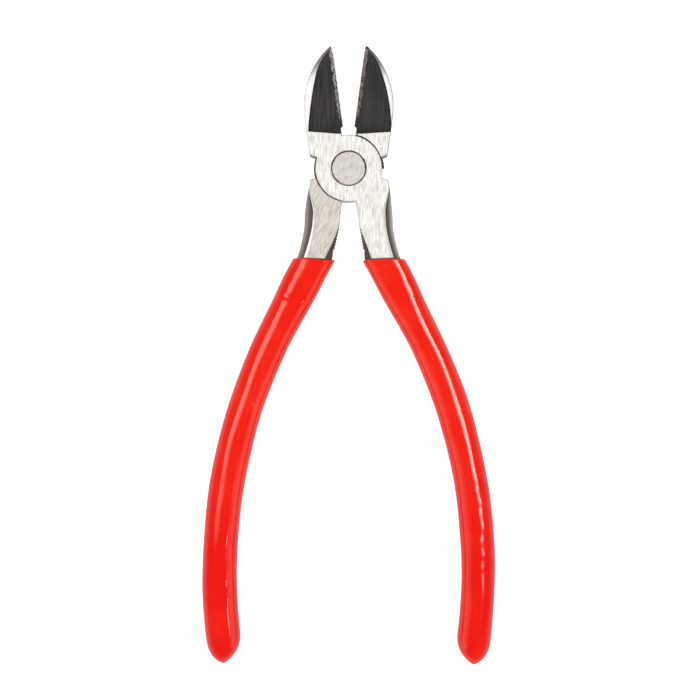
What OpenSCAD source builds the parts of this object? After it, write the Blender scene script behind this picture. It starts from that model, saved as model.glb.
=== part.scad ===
// Diagonal cutting pliers with dipped handles, lying on their back face.
// X runs across the tool, Y towards the jaw tips and Z up out of the front face.
// The origin is on the pivot axis, in the plane of the back face. All sizes in millimetres.
// Each lever is drawn with the jaws shut and is then turned by half of the opening angle.

/* [Pose] */
// angle between the two cutting edges, in degrees
jaw_opening = 15; // [0:1:45]

/* [Head] */
// thickness of the head, from back face to front face
head_thickness = 10; // [8:0.5:12]
// width of one jaw at its widest
jaw_width = 10.7; // [9.5:0.1:12]
// distance from the pivot axis to the jaw tips
jaw_reach = 35.9; // [30:0.1:40]
// height above the pivot at which the outer side of the jaw starts to curve in
nose_start = 16.5; // [14:0.5:20]
// thickness that is left at the jaw tips
tip_thickness = 6.4; // [5:0.2:10]

/* [Cutting edges] */
// distance from the pivot axis to the lower end of the cutting edge
edge_start = 12.4; // [11.5:0.1:14]
// height of the cutting edge above the back face
edge_height = 3; // [2:0.1:5]
// width of the ground strip along the cutting edge
strip_width = 1; // [0.5:0.1:2]
// rise of the ground strip over its width
strip_rise = 1.1; // [0.5:0.1:2]
// gap that is left between the two edges when the jaws are shut
edge_gap = 0.04; // [0.02:0.01:0.1]

/* [Joint] */
// radius of the round joint disc on each lever
disc_radius = 9.8; // [9:0.1:10.4]
// gap around the joint discs
disc_gap = 0.25; // [0.15:0.05:0.4]
// gap between the two joint discs
layer_gap = 0.06; // [0.04:0.01:0.2]
// angle of the stop shoulders above and below the X axis, in degrees
shoulder_angle = 23.75; // [20:0.25:30]
// rounding of the stop shoulder at the outside of the jaw
shoulder_round = 1.2; // [0.5:0.1:2]

/* [Rivet] */
// radius of the rivet shank
rivet_radius = 3.2; // [2.5:0.1:4]
// radius of the flush rivet heads
rivet_head_radius = 4.94; // [4:0.02:6]
// depth of the tapered rivet heads
rivet_head_depth = 2; // [1:0.1:3]
// radial clearance of the rivet in the lever that turns on it
running_clearance = 0.06; // [0.02:0.01:0.1]

/* [Shanks] */
// distance from the middle of the tool to the outside of the shank
shank_outside = 10.7; // [9.5:0.1:12]
// distance from the middle of the tool to the inside of the shank
shank_inside = 0.55; // [0.3:0.05:1]
// thickness of the shank where it enters the grip
shank_thickness = 8; // [7:0.2:9]
// number of gripping teeth on the inside of each shank
tooth_count = 7; // [0:1:9]
// distance from one tooth to the next
tooth_pitch = 0.91; // [0.7:0.01:1.2]
// depth of the tooth grooves
tooth_depth = 0.4; // [0.2:0.05:0.6]

/* [Handles] */
// lean of the straight part of the handle away from the Y axis, in degrees
handle_lean = 19.8; // [15:0.1:25]
// length of the straight part of the handle
handle_straight = 22.1; // [15:0.1:30]
// radius of the curved part of the handle
handle_bend = 154.9; // [120:0.1:200]
// lean of the handle at its end, in degrees inwards
end_lean = 14.6; // [10:0.1:18]
// radius of the round steel handle inside the grip
core_radius = 3.7; // [3:0.1:4]
// radius of the grip along its bend
grip_radius = 4.79; // [4.4:0.01:5.2]
// radius of the grip at its mouth
mouth_radius = 5.5; // [5:0.05:6]
// length of the rounded end of the grip
grip_end_length = 7.3; // [6:0.1:10]

/* [Hidden] */
$fn = 72;
half_thickness = head_thickness / 2;
overshoot = 1;
// Fixed parts touch with this much room between them.
seat_gap = 0.01;
// Where one stretch of a round bar enters the next, it is this much thinner and goes this far in.
joint_step = 0.02;
joint_lap = 0.5;

// The outer side of the jaw is one arc that starts upright and ends at the tip.
tip_width = 0.4;
nose_run = jaw_reach - nose_start;
nose_drop = jaw_width - tip_width;
nose_radius = (nose_run * nose_run + nose_drop * nose_drop) / (2 * nose_drop);
nose_centre = [nose_radius - jaw_width, nose_start];
nose_end_angle = 90 + acos(nose_run / nose_radius);
// The jaw gets thinner over this last stretch before the tip.
nose_thinning = 15;

// Throat of the jaw: a small step back from the line of the cutting edge.
throat_relief = 0.6;
throat_bottom = 6;

// The shank has a smaller rounding at its stop shoulder than the jaw.
shank_shoulder_round = 0.7;

// Sunk bevel in the front of the jaw: the corners of its outline.
bevel_foot_outer = [-10.1, 12.5];
bevel_foot_inner = [-0.4, 10.4];
bevel_tip = [-0.5, 35.2];
bevel_bow = 3.3;
// The bevel in the back of the jaw is smaller.
back_bevel_foot = [-5.6, 12.6];
back_bevel_tip = [-0.5, 33.5];
back_bevel_bow = 0.9;

// Handle line, from the middle of the grip mouth.
handle_top = [6.55, -27.4];
bend_start = handle_top + handle_straight * [sin(handle_lean), -cos(handle_lean)];
bend_centre = bend_start - handle_bend * [cos(handle_lean), sin(handle_lean)];
// The steel inside the grip reaches this far above the mouth and stops this much short of the end.
core_lead = 3;
core_top_radius = 3.95;
core_end_lean = end_lean - 2;
// The grip is drawn longer at the top and is then cut off along its slanted mouth.
mouth_lead = 6;
mouth_centre = [7.2, -27.3];
mouth_slope = -4.9;

// How far the forged bands beside the ground flat sink for each millimetre of their width.
band_slope = 1.15;
inner_band_slope = 1.6;
tooth_first = -18.3;

function arc_points(centre, radius, from, to, steps) =
    [for (i = [0:steps]) let (a = from + (to - from) * i / steps)
        centre + radius * [cos(a), sin(a)]];

// Points from a to b along a curve that swells by the given rise to the left of the way.
function bow_points(a, b, rise, steps) =
    let (run = b - a, side = [-run[1], run[0]] / norm(run))
    [for (i = [0:steps]) let (s = i / steps) a + run * s + side * rise * 4 * s * (1 - s)];

// Centre of the rounding between a stop shoulder and the side of the tool, in the upper right quarter.
function corner_centre(radius) =
    [jaw_width - radius,
     (radius + (jaw_width - radius) * sin(shoulder_angle)) / cos(shoulder_angle)];

function front_height(y) =
    y > -disc_radius
        ? head_thickness
        : head_thickness + (y + disc_radius) * (head_thickness - shank_thickness) / 2 / 17.5;

// Side view of the whole lever: thinner at the nose and thinner towards the grip.
module side_view() {
    nose_top = (head_thickness + tip_thickness) / 2;
    nose_foot = jaw_reach - nose_thinning;
    top = concat(
        [[mouth_centre[1] - 3, half_thickness + shank_thickness / 2], [-disc_radius, head_thickness]],
        bow_points([nose_foot, head_thickness], [jaw_reach + overshoot, nose_top], 0.35, 8)
    );
    bottom = [for (i = [len(top) - 1:-1:0]) [top[i][0], head_thickness - top[i][1]]];
    rotate([90, 0, 90])
        linear_extrude(4 * jaw_width, center = true)
            polygon(concat(top, bottom));
}

module jaw_plan() {
    corner = corner_centre(shoulder_round);
    polygon(concat(
        [[0, 0]],
        arc_points([-corner[0], corner[1]], shoulder_round, 270 - shoulder_angle, 180, 6),
        arc_points(nose_centre, nose_radius, 180, nose_end_angle, 24),
        [
            [-edge_gap / 2, jaw_reach - tip_width],
            [-edge_gap / 2, edge_start],
            [-throat_relief - edge_gap / 2, edge_start],
            [-throat_relief - edge_gap / 2, throat_bottom]
        ]
    ));
}

module shank_plan() {
    corner = corner_centre(shank_shoulder_round);
    foot_outer = [12, -29];
    foot_inner = [2.1, -27.8];
    tooth_end = tooth_first - tooth_count * tooth_pitch;
    polygon(concat(
        [[0, 0]],
        arc_points([corner[0], -corner[1]], shank_shoulder_round, 90 - shoulder_angle, 0, 4),
        bow_points([shank_outside, -7], [shank_outside, -17.5], 0.35, 6),
        bow_points([shank_outside, -19], foot_outer, -0.25, 6),
        [foot_inner, [shank_inside + 0.2, tooth_end], [shank_inside, tooth_first + 1], [shank_inside, -6]]
    ));
}

// A wedge along a line of rim points: it cuts the corner off between the rim, on the flat, and the
// side of the shank. The way is +1 or -1 in X, and the slope is how far the cut sinks for its width.
module band_cutter(rim, way, reach, slope) {
    inner_lap = 0.4;
    count = len(rim);
    points = [for (p = rim) let (z = front_height(p[1]))
        each [
            [p[0] - way * inner_lap, p[1], z + slope * inner_lap],
            [p[0] + way * reach, p[1], z - slope * reach],
            [p[0] + way * reach, p[1], z + slope * inner_lap]
        ]];
    sides = [for (i = [0:count - 2]) let (k = 3 * i)
        each [
            [k, k + 1, k + 4], [k, k + 4, k + 3],
            [k + 1, k + 2, k + 5], [k + 1, k + 5, k + 4],
            [k + 2, k, k + 3], [k + 2, k + 3, k + 5]
        ]];
    last = 3 * (count - 1);
    faces = concat([[0, 2, 1]], sides, [[last, last + 1, last + 2]]);
    polyhedron(points, way < 0 ? faces : [for (f = faces) [f[2], f[1], f[0]]]);
}

// Forged band outside the ground flat of the shank.
module outer_band() {
    rim = concat(
        bow_points([11.2, -5.2], [8.4, -14.5], -0.45, 6),
        bow_points([8.35, -16], [9.4, -29.5], 0.1, 4)
    );
    band_cutter(rim, 1, 5, band_slope);
}

// Forged band with the teeth, between the ground flat and the inside of the shank.
module inner_band() {
    rim = [[0.75, -17.8], [2.35, -23.35], [3.7, -29.5]];
    band_cutter(rim, -1, 5, inner_band_slope);
}

module both_faces() {
    children();
    translate([0, 0, head_thickness])
        mirror([0, 0, 1])
            children();
}

module tooth_grooves() {
    groove = tooth_depth * 2 * 0.71;
    for (i = [0:tooth_count - 1]) {
        y = tooth_first - tooth_pitch * i;
        translate([shank_inside + 0.1 * i / tooth_count, y, half_thickness])
            rotate(45)
                cube([groove, groove, 2 * head_thickness], center = true);
    }
}

// Everything below the slanted mouth of the grip.
module below_mouth() {
    translate(mouth_centre)
        rotate(mouth_slope)
            translate([-4 * jaw_width, -200, -head_thickness])
                cube([8 * jaw_width, 200, 3 * head_thickness]);
}

// The sunk bevel runs from its rim on the front face down to the cutting edge.
module front_bevel() {
    rim = concat(
        [bevel_foot_inner],
        bow_points(bevel_foot_outer, bevel_tip, bevel_bow, 14)
    );
    floor_height = edge_height + strip_rise * 0.4;
    hull() {
        translate([0, 0, head_thickness])
            linear_extrude(overshoot)
                polygon(concat(rim, [[0.5, jaw_reach], [0.5, bevel_foot_inner[1]]]));
        translate([0, edge_start, floor_height])
            cube([0.5, jaw_reach - edge_start, 0.1]);
    }
    // Ground strip along the edge.
    translate([0, edge_start, 0])
        mirror([0, 1, 0])
            rotate([90, 0, 0])
                linear_extrude(jaw_reach)
                    polygon([
                        [-edge_gap / 2, edge_height],
                        [-edge_gap / 2 - strip_width, edge_height + strip_rise],
                        [-edge_gap / 2 - strip_width, head_thickness],
                        [1, head_thickness],
                        [1, edge_height]
                    ]);
}

module back_bevel() {
    rim = bow_points(back_bevel_foot, back_bevel_tip, back_bevel_bow, 8);
    hull() {
        translate([0, 0, -overshoot])
            linear_extrude(overshoot)
                polygon(concat(rim, [[0.5, jaw_reach], [0.5, edge_start]]));
        translate([-edge_gap / 2, edge_start, edge_height - 0.1])
            cube([0.5, jaw_reach - edge_start + overshoot, 0.1]);
    }
}

module jaw() {
    difference() {
        intersection() {
            linear_extrude(head_thickness)
                jaw_plan();
            side_view();
        }
        front_bevel();
        back_bevel();
    }
}

module shank() {
    difference() {
        intersection() {
            linear_extrude(head_thickness)
                shank_plan();
            side_view();
        }
        both_faces()
            outer_band();
        both_faces()
            inner_band();
        tooth_grooves();
        below_mouth();
    }
}

// A round bar along the line of the handle: a straight stretch, then the bend.
module handle_bar(top_radius, bar_radius, lead, end, grow) {
    translate([bend_start[0], bend_start[1], half_thickness])
        rotate([0, 0, handle_lean])
            rotate([-90, 0, 0])
                translate([0, 0, -joint_lap])
                    cylinder(
                        h = handle_straight + lead + joint_lap,
                        r1 = bar_radius + grow - joint_step,
                        r2 = top_radius + grow
                    );
    translate([bend_centre[0], bend_centre[1], half_thickness])
        rotate([0, 0, -end])
            rotate_extrude(angle = handle_lean + end)
                translate([handle_bend, 0])
                    circle(bar_radius + grow);
}

module handle_core(grow) {
    handle_bar(core_top_radius, core_radius, core_lead, core_end_lean, grow);
}

// The rivet, or the bore for it: a shank with a tapered flush head at one or both faces.
module rivet_shape(gap, front_head, back_head) {
    through = gap > 0 ? overshoot : 0;
    head_slope = (rivet_head_radius - rivet_radius) / rivet_head_depth;
    translate([0, 0, -through])
        cylinder(h = head_thickness + 2 * through, r = rivet_radius + gap);
    if (front_head) {
        translate([0, 0, head_thickness - rivet_head_depth])
            cylinder(
                h = rivet_head_depth + through,
                r1 = rivet_radius + gap,
                r2 = rivet_head_radius + gap + through * head_slope
            );
    }
    if (back_head) {
        translate([0, 0, -through])
            cylinder(
                h = rivet_head_depth + through,
                r1 = rivet_head_radius + gap + through * head_slope,
                r2 = rivet_radius + gap
            );
    }
}

// Steel of one lever, jaws shut, jaw on the left. Its joint disc fills one half of the thickness
// and a round space for the disc of the other lever is cut from the other half.
module lever_steel(disc_in_front, rivet_gap) {
    disc_height = half_thickness - layer_gap / 2;
    disc_bottom = disc_in_front ? head_thickness - disc_height : 0;
    space_bottom = disc_in_front ? -overshoot : disc_height;
    difference() {
        union() {
            difference() {
                union() {
                    jaw();
                    shank();
                }
                translate([0, 0, space_bottom])
                    cylinder(h = head_thickness - disc_height + overshoot, r = disc_radius + disc_gap);
            }
            translate([0, 0, disc_bottom])
                cylinder(h = disc_height, r = disc_radius);
            handle_core(0);
        }
        rivet_shape(rivet_gap, disc_in_front, !disc_in_front);
    }
}

// Bullet-shaped end of the grip.
module grip_end() {
    end_radius = grip_radius - joint_step;
    swell = (end_radius * end_radius + grip_end_length * grip_end_length) / (2 * end_radius);
    end_angle = asin(grip_end_length / swell);
    end_point = bend_centre + handle_bend * [cos(end_lean), -sin(end_lean)];
    side = arc_points([end_radius - swell, 0], swell, 0, end_angle, 14);
    translate([end_point[0], end_point[1], half_thickness])
        rotate([0, 0, -end_lean])
            rotate([90, 0, 0])
                rotate_extrude()
                    polygon(concat([[0, -joint_lap], [end_radius, -joint_lap]],
                        [for (i = [0:13]) side[i]], [[0, grip_end_length]]));
}

// Everything above the slanted mouth of the grip.
module above_mouth() {
    translate(mouth_centre)
        rotate(mouth_slope)
            translate([-4 * jaw_width, -2 * seat_gap, -head_thickness])
                cube([8 * jaw_width, 60, 3 * head_thickness]);
}

// The wide mouth of the grip is flattened a little, so that the head alone touches the table.
module grip() {
    flat_margin = 0.1;
    difference() {
        union() {
            handle_bar(mouth_radius, grip_radius, mouth_lead, end_lean, 0);
            grip_end();
        }
        handle_core(2 * seat_gap);
        above_mouth();
        both_faces()
            translate([-head_thickness, -60, head_thickness - flat_margin])
                cube([4 * head_thickness, 60, head_thickness]);
    }
}

module on_front_lever() {
    rotate(jaw_opening / 2)
        children();
}

module on_back_lever() {
    rotate(-jaw_opening / 2)
        mirror([1, 0, 0])
            children();
}

module front_lever() {
    color("gainsboro")
        on_front_lever()
            lever_steel(true, seat_gap);
}

module back_lever() {
    color("silver")
        on_back_lever()
            lever_steel(false, running_clearance);
}

module pivot_rivet() {
    color("darkgray")
        rivet_shape(0, true, true);
}

module front_lever_grip() {
    color("red")
        on_front_lever()
            grip();
}

module back_lever_grip() {
    color("crimson")
        on_back_lever()
            grip();
}

front_lever();
back_lever();
pivot_rivet();
front_lever_grip();
back_lever_grip();
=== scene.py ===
"""The looks of the diagonal cutting pliers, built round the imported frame.

Shapes are worked out in millimetres, with the jaws shut, for a lever whose jaw is on the left and
whose handle is on the right. The front lever is that shape turned by half of the opening angle, and
the back lever is its mirror image turned the other way. Meshes are stored in metres.
"""

import math

import bpy
import numpy as np
from mathutils import Matrix, Vector


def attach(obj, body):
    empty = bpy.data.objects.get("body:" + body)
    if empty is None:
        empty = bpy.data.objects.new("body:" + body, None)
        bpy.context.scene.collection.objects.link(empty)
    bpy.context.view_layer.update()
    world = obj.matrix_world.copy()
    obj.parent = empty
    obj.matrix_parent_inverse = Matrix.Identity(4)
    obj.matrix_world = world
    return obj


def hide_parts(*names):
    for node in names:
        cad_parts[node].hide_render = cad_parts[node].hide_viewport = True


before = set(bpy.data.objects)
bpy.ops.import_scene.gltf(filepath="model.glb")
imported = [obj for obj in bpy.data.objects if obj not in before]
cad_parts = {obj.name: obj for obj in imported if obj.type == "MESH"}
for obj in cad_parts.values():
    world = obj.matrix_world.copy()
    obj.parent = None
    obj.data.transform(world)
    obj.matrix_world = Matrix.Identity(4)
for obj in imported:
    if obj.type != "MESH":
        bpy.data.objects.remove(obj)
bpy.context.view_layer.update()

MM = 0.001
HALF_OPENING = math.radians(7.5)

# Head, millimetres.
THICK = 10.0
MID = THICK / 2
JAW_WIDTH = 10.78
JAW_REACH = 36.3
NOSE_START = 16.5
TIP_WIDTH = 0.4
EDGE_START = 12.75
EDGE_SIDE = 0.02
THROAT_STEP = 0.7
SHOULDER = math.radians(23.75)
FRONT_DISC = 9.66
BACK_DISC = 9.70
BACK_DISC_SHIFT = 0.46
DISC_GAP = 0.20
BACK_DISC_GAP = 0.52
POCKET_SHIFT = (0.08, 0.08)
FRONT_FILLET_REACH = 9.76
BACK_FILLET_REACH = 10.14
FLASH_REACH = 10.36
FLASH_RELIEF = 0.34
FLASH_RELIEF_DEPTH = 8.6
FLASH_MIDDLE = 2.9
FLASH_HALF = 1.3
LAYER_GAP = 0.06
# Just inside the mouth of the grip, where the shank ends and the round core takes over.
STEEL_END = -29.2
WAIST_END = 6.5
FRONT_WAIST_FILLET = 0.3
BACK_WAIST_FILLET = 1.2
JAW_EDGE_ROUND = 0.35
SHANK_EDGE_ROUND = 0.2
DISC_EDGE_ROUND = 0.1
CRISP_ROUND = 0.07
POCKET_ROUND = 0.08
HOLE_ROUND = 0.06
JAW_SHOULDER_ROUND = 0.9
SHANK_SHOULDER_ROUND = 0.7
SHOULDER_LIFT = 0.5
BORE = 3.2
HOLE_GAP = 0.03
RIVET_HEAD = 4.94
HEAD_DEPTH = 2.0

# Sunk bevel of the jaw.
FLOOR_AT_EDGE = 4.1
FLOOR_AT_RIM = 9.4
FLOOR_CURVE = 1.45
BACK_EDGE_HEIGHT = 2.8
BACK_BEVEL_WIDTH = 5.3

# Handle line, from the middle of the grip mouth.
LEAN = math.radians(19.8)
STRAIGHT = 22.1
BEND = 154.9
MOUTH = np.array([6.55, -27.4])
MOUTH_SLANT = math.tan(math.radians(24.7))
MOUTH_LEVEL = -27.3
MOUTH_SLOPE = math.tan(math.radians(4.9))

# Grip sleeve.
GRIP_HALF = 4.9
GRIP_HIGH = 4.62
LIP = 0.55
BODY_END = 112.0
NOSE_LENGTH = 9.0
NOSE_FULL = 8.8
CORE_RADIUS = 3.7

# Teeth on the inside of the shanks.
TOOTH_FIRST = -17.9
TOOTH_PITCH = 0.91
TOOTH_OUT = 0.20
TOOTH_IN = 0.42
TEETH = 7

# The grid that the steel's surface is found on.
GRID_LOW = (-11.3, -29.6, -0.35)
GRID_HIGH = (12.9, 36.4, 10.35)
GRID_STEP = 0.20

# Points higher than this belong to the front of the tool.
FRONT_SIDE = 2.6
# The scratches on the lower front of the back lever run at this angle.
BACK_SCRATCHES = math.radians(30)
# Stands for a place that is nowhere near a zone.
FAR = 5.0


# ---------------------------------------------------------------- outlines

def arc(centre, radius, start, end, steps):
    """Points on an arc, angles in degrees."""
    a = np.radians(np.linspace(start, end, steps + 1))
    return np.stack([centre[0] + radius * np.cos(a), centre[1] + radius * np.sin(a)], 1)


def bow(a, b, rise, steps):
    """Points from a to b on a shallow curve that swells to the left of the way by rise."""
    a, b = np.array(a, float), np.array(b, float)
    s = np.linspace(0, 1, steps + 1)[:, None]
    run = b - a
    side = np.array([-run[1], run[0]]) / np.hypot(*run)
    return a + run * s + side * rise * 4 * s * (1 - s)


def join(*parts):
    return np.concatenate([np.atleast_2d(np.array(p, float)) for p in parts])


def shoulder_corner(radius, reach):
    """Centre of the rounding between a stop shoulder and the outside, in the upper right quarter."""
    x = reach - radius
    return x, (radius + x * math.sin(SHOULDER)) / math.cos(SHOULDER)


def jaw_outline(tip):
    drop, run = JAW_WIDTH - TIP_WIDTH, JAW_REACH - NOSE_START
    radius = (run * run + drop * drop) / (2 * drop)
    end = 90 + math.degrees(math.acos(run / radius))
    cx, cy = shoulder_corner(JAW_SHOULDER_ROUND, JAW_WIDTH)
    return join(
        (0, 0),
        arc((-cx, cy + SHOULDER_LIFT), JAW_SHOULDER_ROUND, 270 - math.degrees(SHOULDER), 180, 6),
        arc((radius - JAW_WIDTH, NOSE_START), radius, 180, end, 28)[:-1],
        (-tip, JAW_REACH - 0.1),
        (-tip * 0.45, JAW_REACH - 1.0),
        (-EDGE_SIDE, JAW_REACH - 2.4),
        (-EDGE_SIDE, EDGE_START),
        (-THROAT_STEP, EDGE_START - 0.25),
        (-THROAT_STEP, 6),
    )


FRONT_JAW = jaw_outline(0.66)
BACK_JAW = jaw_outline(0.30)
# Outer edge of the sunk bevel: the back lever's runs out to the side of the jaw at its foot.
FRONT_RIM = join(bow((-10.15, 12.2), (-5.6, 28.8), 0.35, 8), bow((-5.6, 28.8), (-0.5, 35.4), 0.55, 8)[1:])
BACK_RIM = join(bow((-10.85, 12.2), (-5.75, 28.9), 0.72, 8), bow((-5.75, 28.9), (-0.4, 35.5), 0.65, 8)[1:])
JAW_OUTSIDE = FRONT_JAW[7:35]

SHANK_LOWER = join(
    bow((11.15, -12.0), (10.75, -18.0), 0.10, 5),
    bow((10.75, -18.0), (12.2, -30.0), -0.42, 8)[1:],
)
BACK_OUT = join(bow((10.78, -6.5), (11.15, -12.0), 0.12, 4)[:-1], SHANK_LOWER)
FRONT_OUT = join(bow((11.2, -6.5), (11.15, -12.0), 0.08, 4)[:-1], SHANK_LOWER)
BACK_IN = join((0.55, -6), (0.66, -10), (0.62, -14), (0.52, -18), (0.75, -21.5), (1.32, -26.5), (1.9, -30))
FRONT_IN = join((0.55, -6), (0.75, -10), (0.93, -14), (0.92, -18), (0.98, -21.5), (1.15, -26.5), (1.6, -30))
BAND_START = -5.7


def band_reach(y):
    """How far the rounded side comes in over the flat, for the wider band of the back lever."""
    grow = np.clip((BAND_START - y) / 9.5, 0, 1)
    return 2.75 * np.sin(grow * math.pi / 2) ** 1.7 - 0.12 * np.clip((-16 - y) / 6, 0, 1)


def tooth_reach(y):
    """How far the toothed slope comes in over the flat."""
    return 2.05 * np.clip((-17.3 - y) / 9.3, 0, 1.4) ** 0.95


def shank_outline(inside, outside):
    reach = outside[0, 0]
    cx, cy = shoulder_corner(SHANK_SHOULDER_ROUND, reach)
    teeth = []
    for i in range(TEETH):
        y = TOOTH_FIRST - TOOTH_PITCH * i
        x = np.interp(-y, -inside[:, 1], inside[:, 0])
        teeth += [(x - TOOTH_OUT, y), (x + TOOTH_IN, y - TOOTH_PITCH * 0.5)]
    below = [p for p in inside[::-1] if p[1] < TOOTH_FIRST - TOOTH_PITCH * TEETH]
    above = [p for p in inside[::-1] if p[1] > TOOTH_FIRST]
    return join(
        (0, 0),
        arc((cx, -cy), SHANK_SHOULDER_ROUND, 90 - math.degrees(SHOULDER), 0, 4),
        outside,
        below,
        teeth[::-1],
        above,
    )


FRONT_SHANK = shank_outline(FRONT_IN, FRONT_OUT)
BACK_SHANK = shank_outline(BACK_IN, BACK_OUT)


# ---------------------------------------------------------------- distance fields

def polygon_distance(x, y, outline):
    """Signed distance to a closed outline, negative inside."""
    x, y = np.broadcast_arrays(x, y)
    best = np.full(x.shape, 1e9, np.float32)
    inside = np.zeros(x.shape, bool)
    for (ax, ay), (bx, by) in zip(outline, np.roll(outline, -1, 0)):
        ex, ey = bx - ax, by - ay
        wx, wy = x - ax, y - ay
        t = np.clip((wx * ex + wy * ey) / (ex * ex + ey * ey + 1e-12), 0, 1)
        best = np.minimum(best, (wx - ex * t) ** 2 + (wy - ey * t) ** 2)
        crossing = (ay <= y) != (by <= y)
        inside ^= crossing & ((ex * wy - ey * wx > 0) == (by > ay))
    return np.where(inside, -1, 1) * np.sqrt(best)


def meet(a, b, radius):
    """Intersection with a rounded outer edge."""
    u, v = np.maximum(a + radius, 0), np.maximum(b + radius, 0)
    return np.minimum(np.maximum(a, b), -radius) + np.hypot(u, v)


def blend(a, b, radius):
    """Union with a fillet."""
    u, v = np.maximum(radius - a, 0), np.maximum(radius - b, 0)
    return np.maximum(np.minimum(a, b), radius) - np.hypot(u, v)


def along(y, curve):
    """x of a line of points at y, for a line whose y rises or falls steadily."""
    line = curve if curve[0, 1] < curve[-1, 1] else curve[::-1]
    return np.interp(y, line[:, 1], line[:, 0])


def jaw_top(y):
    return MID - 0.0151 * np.maximum(y - 25.0, 0) ** 2


def shank_top(y):
    return MID - 0.052 * np.maximum(-y - 10.0, 0)


def strip_width(y, seed):
    """Width of the ground strip along the cutting edge, with the unevenness of hand grinding."""
    wave = 0.10 * np.sin(1.9 * y + seed)
    wave = wave + 0.07 * np.sin(4.3 * y + 2 * seed)
    wave = wave + 0.05 * np.sin(9.1 * y + 3 * seed)
    return (1.08 + wave) * np.clip((y - 12.6) / 3.0, 0.15, 1)


def bevel_floor(x, y, lever):
    u = np.clip(x / along(y, lever["rim"]), 0, 1.2)
    floor = FLOOR_AT_EDGE + (FLOOR_AT_RIM - FLOOR_AT_EDGE) * u ** FLOOR_CURVE
    return floor - 1.05 * np.maximum(strip_width(y, lever["seed"]) - np.abs(x), 0)


def sunk_distance(x, y, z, lever):
    outline = join((-0.4, 10.15), lever["rim"], (1.5, 36.5), (1.5, 9.9))
    return polygon_distance(x, y, outline) + 0.06 * (THICK - z)


def back_bevel_width(y):
    """How far the bevel on the back face reaches in from the cutting edge."""
    return np.minimum(BACK_BEVEL_WIDTH, 0.8 * np.abs(along(y, JAW_OUTSIDE)) + 0.05)


def jaw_field(x, y, z, lever):
    plan = polygon_distance(x, y, lever["jaw"])
    body = meet(plan, np.abs(z - MID) - jaw_top(y), JAW_EDGE_ROUND)
    cut = meet(sunk_distance(x, y, z, lever), (bevel_floor(x, y, lever) - z) / 1.25, 0.25)
    body = meet(body, -cut, CRISP_ROUND)
    ceiling = BACK_EDGE_HEIGHT * (1 - np.clip(-x / back_bevel_width(y), 0, 1.3) ** 1.15)
    cut = meet((z - ceiling) / 1.15, (EDGE_START - 0.1 - y), 0.2)
    return meet(body, -cut, CRISP_ROUND)


def bulge(inset, up, width, high):
    """Distance to an ellipse with half axes width and high."""
    up = np.maximum(up, 0.001)
    k0 = np.hypot(inset / width, up / high)
    k1 = np.hypot(inset / width ** 2, up / high ** 2)
    return k0 * (k0 - 1) / k1


def band_field(x, y, z, lever):
    """The rounded forged side of the shank: a quarter of an ellipse."""
    width = np.maximum(1.85 * lever["band"] * band_reach(y), 0.25)
    inset = np.maximum(width - (along(y, lever["outside"]) - x), 0)
    return bulge(inset, np.abs(z - MID), width, 1.12 * shank_top(y))


def tooth_band_field(x, y, z, lever):
    """The sloping forged side with the teeth, on the inside of the shank."""
    width = np.maximum(1.75 * tooth_reach(y), 0.2)
    inset = np.maximum(width - (x - along(y, lever["inside"])), 0)
    return bulge(inset, np.abs(z - MID), width, 1.1 * shank_top(y))


def shank_field(x, y, z, lever):
    plan = polygon_distance(x, y, lever["shank"])
    body = meet(plan, np.abs(z - MID) - shank_top(y), SHANK_EDGE_ROUND)
    body = meet(body, band_field(x, y, z, lever), 0.35)
    return meet(body, tooth_band_field(x, y, z, lever), 0.12)


def flash_distance(x, y):
    """The ragged bit of forging flash on the edge of the back disc, under the jaw's shoulder."""
    ragged = FLASH_REACH + 0.08 * np.sin(6.5 * y)
    return np.maximum(np.hypot(x, y) - ragged, np.maximum(np.abs(y - FLASH_MIDDLE) - FLASH_HALF, x))


def pocket_distance(x, y, lever):
    """Distance outside the round pocket that the other lever's disc turns in."""
    if not lever["front"]:
        return np.hypot(x - POCKET_SHIFT[0], y - POCKET_SHIFT[1]) - FRONT_DISC - DISC_GAP
    relief = np.clip((y + FLASH_RELIEF_DEPTH) / 1.2, 0, 1) * (x > 0) * (y < 0)
    return np.hypot(x, y) - BACK_DISC - BACK_DISC_GAP - FLASH_RELIEF * relief


def disc_distance(x, y, lever):
    """Distance outside the joint disc with its fillets into the jaw and the shank, seen square on."""
    front = lever["front"]
    radius = np.hypot(x, y)
    disc = radius - FRONT_DISC if front else np.hypot(x - BACK_DISC_SHIFT, y) - BACK_DISC
    sides = np.minimum(polygon_distance(x, y, lever["jaw"]), polygon_distance(x, y, lever["shank"]))
    waist = blend(disc, sides, FRONT_WAIST_FILLET if front else BACK_WAIST_FILLET)
    waist = np.maximum(waist, np.abs(y) - WAIST_END)
    waist = np.maximum(waist, radius - (FRONT_FILLET_REACH if front else BACK_FILLET_REACH))
    plan = np.minimum(disc, waist)
    return plan if front else np.minimum(plan, flash_distance(x, y))


def lever_field(x, y, z, lever):
    """The steel of one lever, down to just inside the mouth of its grip."""
    front = lever["front"]
    body = np.minimum(jaw_field(x, y, z, lever), shank_field(x, y, z, lever))
    split = MID + LAYER_GAP / 2 if front else MID - LAYER_GAP / 2
    other_side = z - split if front else split - z
    body = meet(body, -np.maximum(pocket_distance(x, y, lever), other_side), POCKET_ROUND)
    low, high = (split, THICK) if front else (0.0, split)
    layer = np.abs(z - (low + high) / 2) - (high - low) / 2
    body = np.minimum(body, meet(disc_distance(x, y, lever), layer, DISC_EDGE_ROUND))
    seat = z - (THICK - HEAD_DEPTH) if front else HEAD_DEPTH - z
    hole = BORE + HOLE_GAP + np.maximum(seat, 0) * (RIVET_HEAD - BORE) / HEAD_DEPTH
    body = meet(body, -(np.hypot(x, y) - hole) / 1.3, HOLE_ROUND)
    return np.maximum(body, STEEL_END - y)


# ---------------------------------------------------------------- meshing

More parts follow.
